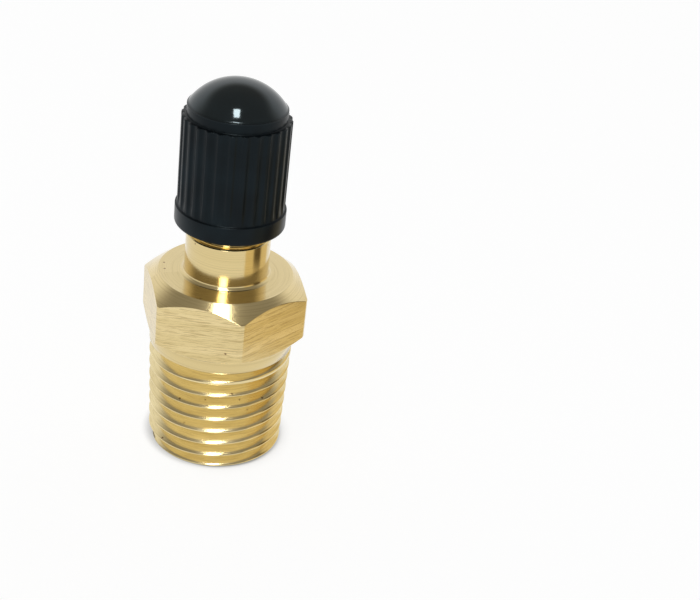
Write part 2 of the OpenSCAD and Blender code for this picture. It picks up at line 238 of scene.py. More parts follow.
def buildThreadTree():
    # a tube whose wall carries a 60 degree thread groove, as a grid of columns and rows
    tree = bpy.data.node_groups.new("threadedTube", "GeometryNodeTree")
    addSockets(tree, [
        ("Geometry", "Geometry", None), ("Crest Radius", "Float", 0.0), ("Taper", "Float", 0.0),
        ("Pitch", "Float", 0.001), ("Depth", "Float", 0.0), ("Crest Flat", "Float", 0.0),
        ("Start Height", "Float", 0.0), ("Low", "Float", 0.0), ("High", "Float", 0.01),
        ("Grooves", "Float", 100.0), ("Fade", "Float", 0.001), ("Side", "Float", 1.0),
        ("Low Chamfer", "Float", -0.01), ("High Chamfer", "Float", -0.01),
        ("Crest Rounding", "Float", 0.00003), ("Root Rounding", "Float", 0.00003), ("Crowding", "Float", 0.0),
        ("Columns", "Int", 96), ("Rows", "Int", 12), ("Turns", "Int", 10),
        ("Material", "Material", None),
    ], [("Geometry", "Geometry")])
    calc = calculator(tree)
    given = tree.nodes.new("NodeGroupInput").outputs
    grid = tree.nodes.new("GeometryNodeMeshGrid")
    rowsAll = calc("ADD", calc("MULTIPLY", given["Rows"], given["Turns"]), 1)
    tree.links.new(calc("ADD", given["Columns"], 1), grid.inputs["Vertices X"])
    tree.links.new(rowsAll, grid.inputs["Vertices Y"])
    index = tree.nodes.new("GeometryNodeInputIndex").outputs[0]
    column = calc("FLOOR", calc("DIVIDE", calc("ADD", index, 0.5), rowsAll))
    row = calc("SUBTRACT", index, calc("MULTIPLY", column, rowsAll))
    even = calc("MULTIPLY", calc("DIVIDE", column, given["Columns"]), 2 * math.pi)
    crowded = calc("MULTIPLY", calc("SINE", calc("MULTIPLY", even, 6.0)),
                   calc("DIVIDE", given["Crowding"], 6.0))
    share = calc("DIVIDE", calc("ADD", even, crowded), 2 * math.pi)
    whole = calc("FLOOR", calc("DIVIDE", calc("ADD", row, 0.5), given["Rows"]))
    part = calc("SUBTRACT", calc("DIVIDE", row, given["Rows"]), whole)
    crowd = calc("MULTIPLY", calc("SINE", calc("MULTIPLY", part, 4 * math.pi)), -0.8 / (4 * math.pi))
    eased = calc("ADD", part, crowd)                # rows crowd at the crest and at the root

    def clamp(value):
        return calc("MINIMUM", calc("MAXIMUM", value, 0.0), 1.0)

    turn = calc("ADD", calc("SUBTRACT", whole, 1), share)
    lift = clamp(calc("DIVIDE", calc("SUBTRACT", given["Grooves"], turn), given["Fade"]))
    offset = calc("MULTIPLY", calc("SUBTRACT", eased, 0.5), lift)
    raw = calc("ADD", given["Start Height"], calc("MULTIPLY", given["Pitch"], calc("ADD", turn, offset)))
    height = calc("MINIMUM", calc("MAXIMUM", raw, given["Low"]), given["High"])
    # the wall's radius at this height, from the nearest groove's own centre line
    along = calc("ADD", calc("SUBTRACT", calc("DIVIDE", calc("SUBTRACT", height, given["Start Height"]),
                                              given["Pitch"]), share), 0.5)
    near = calc("FLOOR", calc("ADD", along, 1e-5))
    away = calc("ABSOLUTE", calc("SUBTRACT", calc("SUBTRACT", along, near), 0.5))
    left = calc("DIVIDE", calc("SUBTRACT", given["Grooves"], calc("ADD", near, share)), given["Fade"])
    still = clamp(left)
    halfOpen = calc("MULTIPLY", calc("SUBTRACT", given["Pitch"], given["Crest Flat"]), 0.5)
    reach = calc("SUBTRACT", halfOpen, calc("MULTIPLY", away, given["Pitch"]))
    deep = calc("SUBTRACT", calc("MULTIPLY", reach, math.sqrt(3)),
                calc("MULTIPLY", given["Depth"], calc("SUBTRACT", 1.0, still)))
    floorDepth = calc("MULTIPLY", given["Depth"], still)
    shaped = calc("SMOOTH_MAX", deep, 0.0, given["Crest Rounding"])
    shaped = calc("SMOOTH_MIN", shaped, floorDepth, given["Root Rounding"])
    shaped = calc("MULTIPLY", shaped, calc("GREATER_THAN", still, 0.0))
    blank = calc("ADD", given["Crest Radius"], calc("MULTIPLY", given["Taper"], height))
    wall = calc("SUBTRACT", blank, calc("MULTIPLY", given["Side"], shaped))
    lowEdge = calc("ADD", calc("SUBTRACT", given["Crest Radius"], given["Low Chamfer"]),
                   calc("SUBTRACT", height, given["Low"]))
    highEdge = calc("ADD", calc("SUBTRACT", given["Crest Radius"], given["High Chamfer"]),
                    calc("SUBTRACT", given["High"], height))
    radius = calc("MINIMUM", calc("MINIMUM", wall, lowEdge), highEdge)
    angle = calc("MULTIPLY", share, 2 * math.pi)
    place = tree.nodes.new("ShaderNodeCombineXYZ")
    fill(tree, place, [calc("MULTIPLY", radius, calc("COSINE", angle)),
                       calc("MULTIPLY", radius, calc("SINE", angle)), height])
    move = tree.nodes.new("GeometryNodeSetPosition")
    tree.links.new(grid.outputs["Mesh"], move.inputs["Geometry"])
    tree.links.new(place.outputs[0], move.inputs["Position"])
    weld = tree.nodes.new("GeometryNodeMergeByDistance")
    weld.inputs["Distance"].default_value = 3e-7
    tree.links.new(move.outputs[0], weld.inputs["Geometry"])
    finishTree(tree, weld.outputs[0], given)
    return tree


def finishTree(tree, geometry, given):
    # every tree ends in plain geometry with its material set
    real = tree.nodes.new("GeometryNodeRealizeInstances")
    paint = tree.nodes.new("GeometryNodeSetMaterial")
    out = tree.nodes.new("NodeGroupOutput")
    tree.links.new(geometry, real.inputs[0])
    tree.links.new(real.outputs[0], paint.inputs["Geometry"])
    tree.links.new(given["Material"], paint.inputs["Material"])
    tree.links.new(paint.outputs[0], out.inputs[0])


def threadedTube(name, sizes, material):
    thing = makeObject(name, [(0, 0, 0)], [])
    modifier = thing.modifiers.new("thread", "NODES")
    modifier.node_group = threadTree
    for key, value in sizes.items():
        setInput(modifier, key, value)
    setInput(modifier, "Material", material)
    return evaluated(thing, name)


def buildRibTree():
    # cuts grooves into an upright shell, between two heights, by moving its points inwards
    tree = bpy.data.node_groups.new("ribbedShell", "GeometryNodeTree")
    addSockets(tree, [
        ("Geometry", "Geometry", None), ("Ribs", "Int", 28), ("Rib Radius", "Float", 0.005),
        ("Depth", "Float", 0.0002), ("Groove Radius", "Float", 0.0005), ("Turn", "Float", 0.0),
        ("Low", "Float", 0.0), ("High", "Float", 0.01), ("Run Out", "Float", 0.0003),
        ("Rounding", "Float", 0.00003), ("Material", "Material", None),
    ], [("Geometry", "Geometry")])
    calc = calculator(tree)
    given = tree.nodes.new("NodeGroupInput").outputs
    split = tree.nodes.new("ShaderNodeSeparateXYZ")
    tree.links.new(tree.nodes.new("GeometryNodeInputPosition").outputs[0], split.inputs[0])
    x, y, z = split.outputs
    radius = calc("SQRT", calc("ADD", calc("MULTIPLY", x, x), calc("MULTIPLY", y, y)))
    angle = calc("SUBTRACT", calc("ARCTAN2", y, x), given["Turn"])
    beat = calc("MULTIPLY", calc("DIVIDE", angle, 2 * math.pi), given["Ribs"])
    swing = calc("SUBTRACT", calc("FRACT", beat), 0.5)      # 0 in the middle of a groove
    width = calc("MULTIPLY", calc("DIVIDE", 2 * math.pi, given["Ribs"]), given["Rib Radius"])
    side = calc("MULTIPLY", swing, width)
    squared = calc("SUBTRACT", calc("POWER", given["Groove Radius"], 2.0), calc("MULTIPLY", side, side))
    chord = calc("SQRT", calc("MAXIMUM", 0.0, squared))
    dip = calc("SUBTRACT", chord, calc("SUBTRACT", given["Groove Radius"], given["Depth"]))
    dip = calc("SMOOTH_MAX", dip, 0.0, given["Rounding"])
    ramp = calc("DIVIDE", calc("SUBTRACT", z, given["Low"]), given["Run Out"])
    ramp = calc("MINIMUM", calc("MAXIMUM", ramp, 0.0), 1.0)
    limit = calc("SUBTRACT", given["Rib Radius"], calc("MULTIPLY", dip, ramp))
    inZone = calc("MULTIPLY", calc("GREATER_THAN", z, given["Low"]), calc("LESS_THAN", z, given["High"]))
    free = calc("SUBTRACT", 1.0, inZone)
    cut = calc("MINIMUM", radius, calc("ADD", limit, free))
    shrink = calc("DIVIDE", cut, calc("MAXIMUM", radius, 1e-9))
    place = tree.nodes.new("ShaderNodeCombineXYZ")
    fill(tree, place, [calc("MULTIPLY", x, shrink), calc("MULTIPLY", y, shrink), z])
    move = tree.nodes.new("GeometryNodeSetPosition")
    tree.links.new(given["Geometry"], move.inputs["Geometry"])
    tree.links.new(place.outputs[0], move.inputs["Position"])
    finishTree(tree, move.outputs[0], given)
    return tree


def buildSpringTree():
    # a round wire wound on the axis, with its end turns closed up
    tree = bpy.data.node_groups.new("woundSpring", "GeometryNodeTree")
    addSockets(tree, [
        ("Geometry", "Geometry", None), ("Coil Radius", "Float", 0.001),
        ("Wire Radius", "Float", 0.0001), ("Wire Corners", "Int", 14),
        ("Low", "Float", 0.0), ("High", "Float", 0.005), ("Working Turns", "Float", 7.0),
        ("Closed Turns", "Float", 1.5), ("Points", "Int", 320), ("Material", "Material", None),
    ], [("Geometry", "Geometry")])
    calc = calculator(tree)
    given = tree.nodes.new("NodeGroupInput").outputs
    line = tree.nodes.new("GeometryNodeMeshLine")
    tree.links.new(given["Points"], line.inputs["Count"])
    index = tree.nodes.new("GeometryNodeInputIndex").outputs[0]
    whole = calc("ADD", given["Working Turns"], calc("MULTIPLY", given["Closed Turns"], 2.0))
    turn = calc("MULTIPLY", calc("DIVIDE", index, calc("SUBTRACT", given["Points"], 1)), whole)
    step = calc("MULTIPLY", given["Wire Radius"], 2.2)
    past = calc("MAXIMUM", calc("SUBTRACT", turn, given["Closed Turns"]), 0.0)
    work = calc("MINIMUM", past, given["Working Turns"])
    rest = calc("SUBTRACT", turn, work)
    tall = calc("SUBTRACT", given["High"], given["Low"])
    span = calc("SUBTRACT", tall, calc("MULTIPLY", given["Wire Radius"], 2.0))
    closed = calc("MULTIPLY", calc("MULTIPLY", given["Closed Turns"], 2.0), step)
    workStep = calc("DIVIDE", calc("SUBTRACT", span, closed), given["Working Turns"])
    rise = calc("ADD", calc("MULTIPLY", rest, step), calc("MULTIPLY", work, workStep))
    height = calc("ADD", calc("ADD", given["Low"], given["Wire Radius"]), rise)
    angle = calc("MULTIPLY", turn, 2 * math.pi)
    place = tree.nodes.new("ShaderNodeCombineXYZ")
    fill(tree, place, [calc("MULTIPLY", given["Coil Radius"], calc("COSINE", angle)),
                       calc("MULTIPLY", given["Coil Radius"], calc("SINE", angle)), height])
    move = tree.nodes.new("GeometryNodeSetPosition")
    tree.links.new(line.outputs[0], move.inputs["Geometry"])
    tree.links.new(place.outputs[0], move.inputs["Position"])
    curve = tree.nodes.new("GeometryNodeMeshToCurve")
    tree.links.new(move.outputs[0], curve.inputs[0])
    wire = tree.nodes.new("GeometryNodeCurvePrimitiveCircle")
    tree.links.new(given["Wire Corners"], wire.inputs["Resolution"])
    tree.links.new(given["Wire Radius"], wire.inputs["Radius"])
    sweep = tree.nodes.new("GeometryNodeCurveToMesh")
    tree.links.new(curve.outputs[0], sweep.inputs["Curve"])
    tree.links.new(wire.outputs[0], sweep.inputs["Profile Curve"])
    sweep.inputs["Fill Caps"].default_value = True
    finishTree(tree, sweep.outputs[0], given)
    return tree


def buildTurningMarks():
    # fine tool rings round the axis: a height that changes with height and with radius only
    tree = bpy.data.node_groups.new("turningMarks", "ShaderNodeTree")
    addSockets(tree, [("Fineness", "Float", 9000.0), ("Wander", "Float", 0.25)],
               [("Height", "Float"), ("Tone", "Float")])
    calc = calculator(tree)
    given = tree.nodes.new("NodeGroupInput").outputs
    split = tree.nodes.new("ShaderNodeSeparateXYZ")
    tree.links.new(tree.nodes.new("ShaderNodeTexCoord").outputs["Object"], split.inputs[0])
    x, y, z = split.outputs
    radius = calc("SQRT", calc("ADD", calc("MULTIPLY", x, x), calc("MULTIPLY", y, y)))
    place = tree.nodes.new("ShaderNodeCombineXYZ")
    turn = calc("MULTIPLY", calc("ARCTAN2", y, x), calc("MULTIPLY", given["Wander"], 0.0004))
    fill(tree, place, [calc("ADD", z, turn), radius, 0.0])
    noise = tree.nodes.new("ShaderNodeTexNoise")
    noise.inputs["Detail"].default_value = 2.0
    tree.links.new(place.outputs[0], noise.inputs["Vector"])
    tree.links.new(given["Fineness"], noise.inputs["Scale"])
    broad = tree.nodes.new("ShaderNodeTexNoise")
    broad.inputs["Scale"].default_value = 350.0
    tree.links.new(place.outputs[0], broad.inputs["Vector"])
    out = tree.nodes.new("NodeGroupOutput")
    tree.links.new(noise.outputs[0], out.inputs["Height"])
    tree.links.new(broad.outputs[0], out.inputs["Tone"])
    return tree


def buildMillingMarks():
    # straight near-level cutter lines on upright flats, broken into strokes
    tree = bpy.data.node_groups.new("millingMarks", "ShaderNodeTree")
    addSockets(tree, [("Fineness", "Float", 12500.0), ("Slope", "Float", -0.09), ("Length", "Float", 28.0)],
               [("Height", "Float"), ("Tone", "Float")])
    calc = calculator(tree)
    given = tree.nodes.new("NodeGroupInput").outputs
    split = tree.nodes.new("ShaderNodeSeparateXYZ")
    tree.links.new(tree.nodes.new("ShaderNodeTexCoord").outputs["Object"], split.inputs[0])
    x, y, z = split.outputs
    level = calc("ADD", z, calc("MULTIPLY", calc("SUBTRACT", x, y), given["Slope"]))
    stretch = calc("DIVIDE", 1.0, given["Length"])
    place = tree.nodes.new("ShaderNodeCombineXYZ")
    fill(tree, place, [calc("MULTIPLY", x, stretch), calc("MULTIPLY", y, stretch), level])
    lines = tree.nodes.new("ShaderNodeTexNoise")
    lines.inputs["Detail"].default_value = 3.0
    lines.inputs["Roughness"].default_value = 0.65
    tree.links.new(place.outputs[0], lines.inputs["Vector"])
    tree.links.new(given["Fineness"], lines.inputs["Scale"])
    broad = tree.nodes.new("ShaderNodeTexNoise")
    broad.inputs["Scale"].default_value = 900.0
    tree.links.new(place.outputs[0], broad.inputs["Vector"])
    out = tree.nodes.new("NodeGroupOutput")
    tree.links.new(lines.outputs[0], out.inputs["Height"])
    tree.links.new(broad.outputs[0], out.inputs["Tone"])
    return tree


def buildSpecks():
    # scattered pits and grains: a mask that is 1 in a speck
    tree = bpy.data.node_groups.new("specks", "ShaderNodeTree")
    addSockets(tree, [("Spacing", "Float", 900.0), ("Size", "Float", 0.12)], [("Mask", "Float")])
    given = tree.nodes.new("NodeGroupInput").outputs
    cells = tree.nodes.new("ShaderNodeTexVoronoi")
    tree.links.new(tree.nodes.new("ShaderNodeTexCoord").outputs["Object"], cells.inputs["Vector"])
    tree.links.new(given["Spacing"], cells.inputs["Scale"])
    calc = calculator(tree)
    inside = calc("LESS_THAN", cells.outputs["Distance"], given["Size"])
    split = tree.nodes.new("ShaderNodeSeparateColor")
    tree.links.new(cells.outputs["Color"], split.inputs[0])
    chosen = calc("GREATER_THAN", split.outputs[0], 0.72)
    out = tree.nodes.new("NodeGroupOutput")
    tree.links.new(calc("MULTIPLY", inside, chosen), out.inputs["Mask"])
    return tree


def useGroup(tree, group, values):
    node = tree.nodes.new("ShaderNodeGroup")
    node.node_tree = group
    for name, value in values.items():
        node.inputs[name].default_value = value
    return node


def mixColour(tree, amount, first, second):
    node = tree.nodes.new("ShaderNodeMix")
    node.data_type = "RGBA"
    for socket, value in ((node.inputs[0], amount), (node.inputs[6], first), (node.inputs[7], second)):
        if isinstance(value, bpy.types.NodeSocket):
            tree.links.new(value, socket)
        else:
            socket.default_value = value
    return node.outputs[2]


def mapRange(tree, value, low, high, toLow, toHigh):
    node = tree.nodes.new("ShaderNodeMapRange")
    return fill(tree, node, [value, low, high, toLow, toHigh])


def newMaterial(name, metallic, roughness):
    material = bpy.data.materials.new(name)
    material.use_nodes = True
    shader = material.node_tree.nodes["Principled BSDF"]
    shader.inputs["Metallic"].default_value = metallic
    shader.inputs["Roughness"].default_value = roughness
    return material, material.node_tree, shader


def bumpFrom(tree, height, strength, distance):
    node = tree.nodes.new("ShaderNodeBump")
    node.inputs["Strength"].default_value = strength
    node.inputs["Distance"].default_value = distance
    tree.links.new(height, node.inputs["Height"])
    return node.outputs[0]


def brassMaterial(name, look, marks):
    material, tree, shader = newMaterial(name, 1.0, look["roughness"])
    group = useGroup(tree, marks, {"Fineness": look["fineness"]})
    speck = useGroup(tree, specks, {"Spacing": look["speckSpacing"], "Size": look["speckSize"]})
    cloud = mapRange(tree, group.outputs["Tone"], 0.35, 0.65, 0.0, 1.0)
    tone = mixColour(tree, cloud, look["dark"], look["light"])
    height = group.outputs["Height"]
    lined = mapRange(tree, height, look["strokeFrom"], look["strokeTo"], 0.0, look["strokes"])
    tone = mixColour(tree, lined, tone, look["stroke"])
    colour = mixColour(tree, speck.outputs["Mask"], tone, look["speck"])
    shader.inputs["Coat Weight"].default_value = look["coat"]
    shader.inputs["Coat Roughness"].default_value = look["roughness"]
    tree.links.new(colour, shader.inputs["Base Color"])
    smooth = look["roughness"] - look["smoother"]
    dull = look["roughness"] + look["duller"]
    rough = mapRange(tree, group.outputs["Tone"], 0.3, 0.7, smooth, dull)
    tree.links.new(rough, shader.inputs["Roughness"])
    bump = bumpFrom(tree, height, look["bump"], 0.01 * mm)
    tree.links.new(bump, shader.inputs["Normal"])
    return material


def capMaterial(name):
    # the dome comes out of a polished mould, the grip out of a duller one
    look = {
        "deep": (0.0035, 0.005, 0.007, 1), "cool": (0.006, 0.011, 0.015, 1), "tint": (0.78, 0.95, 1, 1),
        "grip": 0.3, "polish": 0.075, "gripShine": 0.13, "domeShine": 0.6,
        "domeFrom": 35.0, "domeBlend": 0.3, "cloudScale": 260.0, "grainScale": 2600.0, "grain": 0.1,
    }
    material, tree, shader = newMaterial(name, 0.0, look["grip"])
    place = tree.nodes.new("ShaderNodeTexCoord").outputs["Object"]
    split = tree.nodes.new("ShaderNodeSeparateXYZ")
    tree.links.new(place, split.inputs[0])
    cloud = tree.nodes.new("ShaderNodeTexNoise")
    cloud.inputs["Scale"].default_value = look["cloudScale"]
    tree.links.new(place, cloud.inputs["Vector"])
    grain = tree.nodes.new("ShaderNodeTexNoise")
    grain.inputs["Scale"].default_value = look["grainScale"]
    grain.inputs["Detail"].default_value = 3.0
    tree.links.new(place, grain.inputs["Vector"])
    amount = mapRange(tree, cloud.outputs[0], 0.35, 0.65, 0.0, 1.0)
    tree.links.new(mixColour(tree, amount, look["deep"], look["cool"]), shader.inputs["Base Color"])
    domeLow = look["domeFrom"] * mm
    dome = mapRange(tree, split.outputs[2], domeLow, domeLow + look["domeBlend"] * mm, 0.0, 1.0)
    calc = calculator(tree)
    rough = calc("ADD", mapRange(tree, dome, 0.0, 1.0, look["grip"], look["polish"]),
                 mapRange(tree, cloud.outputs[0], 0.3, 0.7, -0.02, 0.04))
    tree.links.new(rough, shader.inputs["Roughness"])
    tree.links.new(mapRange(tree, dome, 0.0, 1.0, look["gripShine"], look["domeShine"]),
                   shader.inputs["Specular IOR Level"])
    shader.inputs["Specular Tint"].default_value = look["tint"]
    bump = bumpFrom(tree, grain.outputs[0], look["grain"], 0.01 * mm)
    tree.links.new(bump, shader.inputs["Normal"])
    return material


def rubberMaterial(name, base):
    look = {"roughness": 0.62, "grainScale": 3200.0, "bloom": 1.9, "grain": 0.3}
    material, tree, shader = newMaterial(name, 0.0, look["roughness"])
    place = tree.nodes.new("ShaderNodeTexCoord").outputs["Object"]
    grain = tree.nodes.new("ShaderNodeTexNoise")
    grain.inputs["Scale"].default_value = look["grainScale"]
    grain.inputs["Detail"].default_value = 4.0
    tree.links.new(place, grain.inputs["Vector"])
    bloom = tuple(c * look["bloom"] for c in base) + (1,)
    amount = mapRange(tree, grain.outputs[0], 0.4, 0.7, 0.0, 1.0)
    tree.links.new(mixColour(tree, amount, base + (1,), bloom), shader.inputs["Base Color"])
    bump = bumpFrom(tree, grain.outputs[0], look["grain"], 0.02 * mm)
    tree.links.new(bump, shader.inputs["Normal"])
    return material


def steelMaterial(name):
    look = {
        "dark": (0.42, 0.42, 0.43, 1), "light": (0.62, 0.62, 0.63, 1),
        "roughness": 0.25, "drawnScale": 4200.0, "drawn": 0.15,
    }
    material, tree, shader = newMaterial(name, 1.0, look["roughness"])
    place = tree.nodes.new("ShaderNodeTexCoord").outputs["Object"]
    drawn = tree.nodes.new("ShaderNodeTexNoise")
    drawn.inputs["Scale"].default_value = look["drawnScale"]
    tree.links.new(place, drawn.inputs["Vector"])
    tone = mixColour(tree, drawn.outputs[0], look["dark"], look["light"])
    tree.links.new(tone, shader.inputs["Base Color"])
    bump = bumpFrom(tree, drawn.outputs[0], look["drawn"], 0.01 * mm)
    tree.links.new(bump, shader.inputs["Normal"])
    return material


turningMarks = buildTurningMarks()
millingMarks = buildMillingMarks()
specks = buildSpecks()
brassLook = {
    "dark": (0.685, 0.545, 0.26, 1), "light": (0.795, 0.645, 0.34, 1),
    "speck": (0.3, 0.2, 0.09, 1), "stroke": (0.42, 0.31, 0.13, 1),
    "roughness": 0.17, "smoother": 0.03, "duller": 0.04, "fineness": 9000.0, "bump": 0.1,
    "speckSpacing": 900.0, "speckSize": 0.1, "strokes": 0.22, "strokeFrom": 0.52, "strokeTo": 0.58, "coat": 0.45,
}
turnedBrass = brassMaterial("turnedBrass", brassLook, turningMarks)
# the threads get a lighter, paler copy of the same brass: painted light that brightens the thread grooves
litThreadLook = {
    **brassLook, "dark": (0.75, 0.62, 0.33, 1), "light": (0.86, 0.73, 0.42, 1), "roughness": 0.2, "coat": 0.0,
}
litThreadBrass = brassMaterial("litThreadBrass", litThreadLook, turningMarks)
milledLook = {**brassLook, "roughness": 0.24, "fineness": 12500.0, "bump": 0.5, "coat": 0.2, "strokes": 0.62}
milledBrass = brassMaterial("milledBrass", milledLook, millingMarks)
coreLook = {
    **brassLook, "dark": (0.62, 0.42, 0.17, 1), "light": (0.74, 0.53, 0.24, 1), "roughness": 0.2, "coat": 0.0,
}
coreBrass = brassMaterial("coreBrass", coreLook, turningMarks)
capPlastic = capMaterial("capPlastic")
sealRubber = rubberMaterial("sealRubber", (0.02, 0.02, 0.021))
gasketRubber = rubberMaterial("gasketRubber", (0.035, 0.012, 0.01))
springSteel = steelMaterial("springSteel")
print("materials made")

threadTree = buildThreadTree()
ribTree = buildRibTree()
springTree = buildSpringTree()


# millimetres, and degrees for slopes and for half the width of a corner's strip
body = {
    "columns": 192, "crowding": 0.82, "collar": 6.9875, "hexLow": 12.4, "hexHigh": 18.4,
    "hexShoulder": 7.05, "ring": 6.4, "lowSlope": 30.0, "highSlope": 37.7, "stripHalf": 1.25, "edge": 0.07,
    "hexRound": 0.05, "neck": 4.0, "neckFoot": 0.45, "neckTop": 22.6, "neckChamfer": 0.1, "neckRound": 0.03,
    "relief": 3.3, "reliefTop": 22.8, "passage": 2.5, "passageChamfer": 0.4, "passageTop": 15.05,
    "passageStep": 0.5, "endRing": 5.0, "chamber": 2.0, "seat": 25.6, "seatTop": 26.6, "coreMinor": 2.33,
    "coreThreadLow": 27.0, "coreThreadHigh": 31.2, "mouth": 2.75, "mouthSlope": 0.42, "stemRim": 3.35,
    "boreRound": 0.04, "threadTop": 11.4, "threadInside": 5.2,
}
pipeSizes = {
    "Crest Radius": 6.6 * mm, "Taper": 1 / 32, "Pitch": 1.4111 * mm, "Depth": 1.03 * mm,
    "Crest Flat": 0.14 * mm, "Start Height": -1.675 * mm, "Low": 0.0, "High": 12.2 * mm, "Grooves": 9.12,
    "Fade": 0.5, "Low Chamfer": 0.25 * mm, "Crest Rounding": 0.17 * mm, "Root Rounding": 0.05 * mm,
    "Columns": body["columns"], "Crowding": body["crowding"], "Rows": 20, "Turns": 12,
}
stemSizes = {
    "Crest Radius": 3.835 * mm, "Pitch": 0.79375 * mm, "Depth": 0.49 * mm, "Crest Flat": 0.1 * mm,
    "Start Height": 23.0258 * mm, "Low": 23.0 * mm, "High": stemTop * mm, "Low Chamfer": 0.2 * mm,
    "High Chamfer": 0.44 * mm, "Crest Rounding": 0.03 * mm, "Root Rounding": 0.02 * mm,
    "Columns": body["columns"], "Crowding": body["crowding"], "Rows": 12, "Turns": 15,
}
coreSizes = {
    "Crest Radius": body["coreMinor"] * mm, "Pitch": 0.7056 * mm, "Depth": 0.37 * mm,
    "Crest Flat": 0.08 * mm, "Side": -1.0, "Start Height": 27.2944 * mm,
    "Low": body["coreThreadLow"] * mm, "High": body["coreThreadHigh"] * mm,
    "Crest Rounding": 0.02 * mm, "Root Rounding": 0.02 * mm,
    "Columns": body["columns"], "Crowding": body["crowding"], "Rows": 10, "Turns": 8,
}


def hexRadius(angle):
    # flats joined at each corner by a narrow strip, with a slight bend between them
    off = (math.degrees(angle) + 30) % 60 - 30
    half = math.radians(30 - body["stripHalf"])
    strip = flatRadius / math.cos(half) * math.cos(math.radians(body["stripHalf"]))
    one = flatRadius / math.cos(math.radians(off))
    two = strip / math.cos(math.radians(30 - abs(off)))
    soft = body["edge"] * 0.25
    blend = max(soft - abs(one - two), 0) / soft
    return min(one, two) - blend * blend * soft * 0.25


def hexColumns():
    low = math.tan(math.radians(body["lowSlope"]))
    high = math.tan(math.radians(body["highSlope"]))
    columns = []
    for angle in spread(body["columns"], body["crowding"]):
        r = hexRadius(angle)
        columns.append((angle, roundCorners([
            (body["collar"], body["hexLow"]), (body["hexShoulder"], body["hexLow"]),
            (r, body["hexLow"] + (r - body["hexShoulder"]) * low),
            (r, body["hexHigh"] - (r - body["ring"]) * high), (body["ring"], body["hexHigh"]),
            (body["ring"] - 0.2, body["hexHigh"])], body["hexRound"])))
    return columns


def makeBody():
    count = body["columns"]
    crowd = body["crowding"]
    neck = body["neck"]
    curve = body["neckFoot"]
    curveTop = body["hexHigh"] + curve
    minor = body["coreMinor"]
    pipe = threadedTube("pipe", pipeSizes, turnedBrass)
    hexagon = tube("hexagon", hexColumns())
    arc = [(neck + curve - curve * math.sin(math.radians(a)), curveTop - curve * math.cos(math.radians(a)))
           for a in range(0, 91, 9)]
    upper = [(body["ring"] - 0.25, body["hexHigh"])] + arc + roundCorners([
        (neck, curveTop + 0.05), (neck, body["neckTop"] - body["neckChamfer"]),
        (neck - body["neckChamfer"], body["neckTop"]), (body["relief"], body["neckTop"]),
        (body["relief"], body["reliefTop"])], body["neckRound"])
    collarAndNeck = lathe("neck", upper, count, crowd)
    stem = threadedTube("stem", stemSizes, turnedBrass)
    mouth = lathe("mouth", roundCorners([
        (minor, body["coreThreadHigh"]), (body["mouth"], body["coreThreadHigh"] + body["mouthSlope"]),
        (body["mouth"], stemTop), (body["stemRim"], stemTop)], body["boreRound"]), count, crowd)
    core = threadedTube("coreThread", coreSizes, turnedBrass)
    bore = lathe("bore", roundCorners([
        (body["endRing"], 0.0), (body["passage"] + body["passageChamfer"], 0.0),
        (body["passage"], body["passageChamfer"]), (body["passage"], body["passageTop"]),
        (body["chamber"], body["passageTop"] + body["passageStep"]), (body["chamber"], body["seat"]),
        (minor, body["seatTop"]), (minor, body["coreThreadLow"])], body["boreRound"]), count, crowd)
    parts = [pipe, hexagon, collarAndNeck, stem, mouth, core, bore]
    joins = [((0, 1), (1, 0)), ((1, 1), (2, 0)), ((2, 1), (3, 0)), ((3, 1), (4, 1)), ((4, 0), (5, 1)),
             ((5, 0), (6, 1)), ((6, 0), (0, 0))]
    whole = chain("brassBody", parts, joins)
    mesh = whole.data
    mesh.materials.clear()
    for material in (turnedBrass, milledBrass, litThreadBrass):
        mesh.materials.append(material)
    # hex flats take the milled brass, thread faces the lighter copy with its painted light, the rest the turned
    # brass
    for face in mesh.polygons:
        centre = face.center
        out = math.hypot(centre.x, centre.y)
        upright = abs(face.normal.z) < 0.05 and out > (flatRadius - 0.02) * mm
        inside = body["hexLow"] * mm < centre.z < body["hexHigh"] * mm
        threaded = centre.z < body["threadTop"] * mm and out > body["threadInside"] * mm
        face.material_index = 1 if upright and inside else 2 if threaded else 0
    return whole


brassBody = makeBody()
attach(brassBody, "valve")
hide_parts("valve_body")
print("body made:", len(brassBody.data.polygons), "faces")


capLow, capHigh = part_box("dust_cap")
cap = {
    "ribs": 28, "perRib": 14, "ribTurn": math.radians(-106), "low": capLow.z / mm, "top": capHigh.z / mm,
    "collar": capHigh.x / mm, "collarTop": 25.4, "rib": 5.0, "ribTop": 34.1, "ribDepth": 0.17,
    "grooveRadius": 0.5, "runOut": 0.35, "ribRound": 0.03, "band": 4.55, "bandTop": 35.1, "dome": 4.48,
    "corner": 0.3, "collarRound": 0.08, "shoulderRound": 0.09, "mouth": 4.095, "mouthHigh": 24.35,
    "mouthSlope": 0.62, "minor": 3.455, "pocket": 3.995, "pocketTop": 34.05, "hollow": 2.5,
    "hollowTop": 35.3, "innerRound": 0.05, "domeWall": 1.3, "pole": 0.02, "gripRows": 16,
    "domeSteps": 26, "roofSteps": 12,
}
capThread = {
    "Crest Radius": cap["minor"] * mm, "Pitch": 0.79375 * mm, "Depth": 0.49 * mm, "Crest Flat": 0.08 * mm,
    "Side": -1.0, "Start Height": 23.4227 * mm, "Low": 24.99 * mm, "High": stemTop * mm,
    "Crest Rounding": 0.02 * mm, "Root Rounding": 0.02 * mm,
    "Columns": cap["ribs"] * cap["perRib"], "Rows": 10, "Turns": 14,
}


def arcPoints(radius, centre, fromRadius, toRadius, steps):
    first, last = math.asin(fromRadius / radius), math.asin(toRadius / radius)
    return [(radius * math.sin(first + (last - first) * i / steps),
             centre + radius * math.cos(first + (last - first) * i / steps)) for i in range(steps + 1)]


